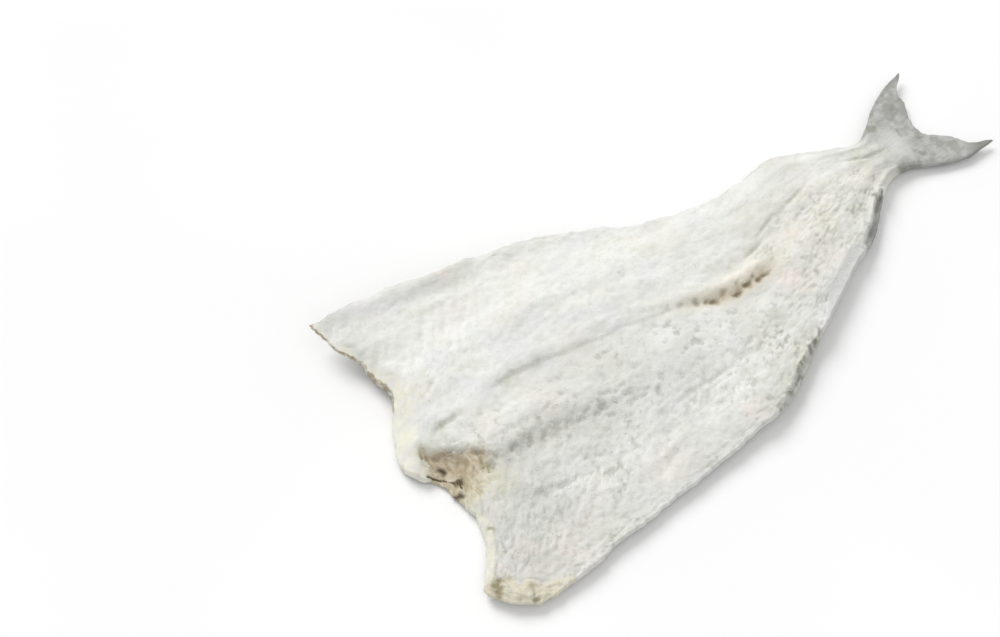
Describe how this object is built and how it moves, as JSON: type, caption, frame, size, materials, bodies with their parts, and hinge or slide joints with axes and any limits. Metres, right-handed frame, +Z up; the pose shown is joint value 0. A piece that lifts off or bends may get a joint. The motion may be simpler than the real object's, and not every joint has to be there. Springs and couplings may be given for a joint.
{
  "type": "salted dried pollock",
  "caption": "Headless fish split along the belly and opened flat, backbone out, heavily salted and dried, flesh side up, tail fin left on.",
  "frame": {"origin": "centre of the fish's bounding box, on the ground under its skin", "axes": "+X from the nape to the tail fin, +Y towards the left flap, +Z up, out of the flesh side"},
  "size_m": [0.4224, 0.2112, 0.0193],
  "materials": {
    "salted_flesh": "dry matt fish flesh, crusted with white salt"
  },
  "bodies": {
    "root": {"split_pollock": "salted_flesh"}
  },
  "joints": []
}
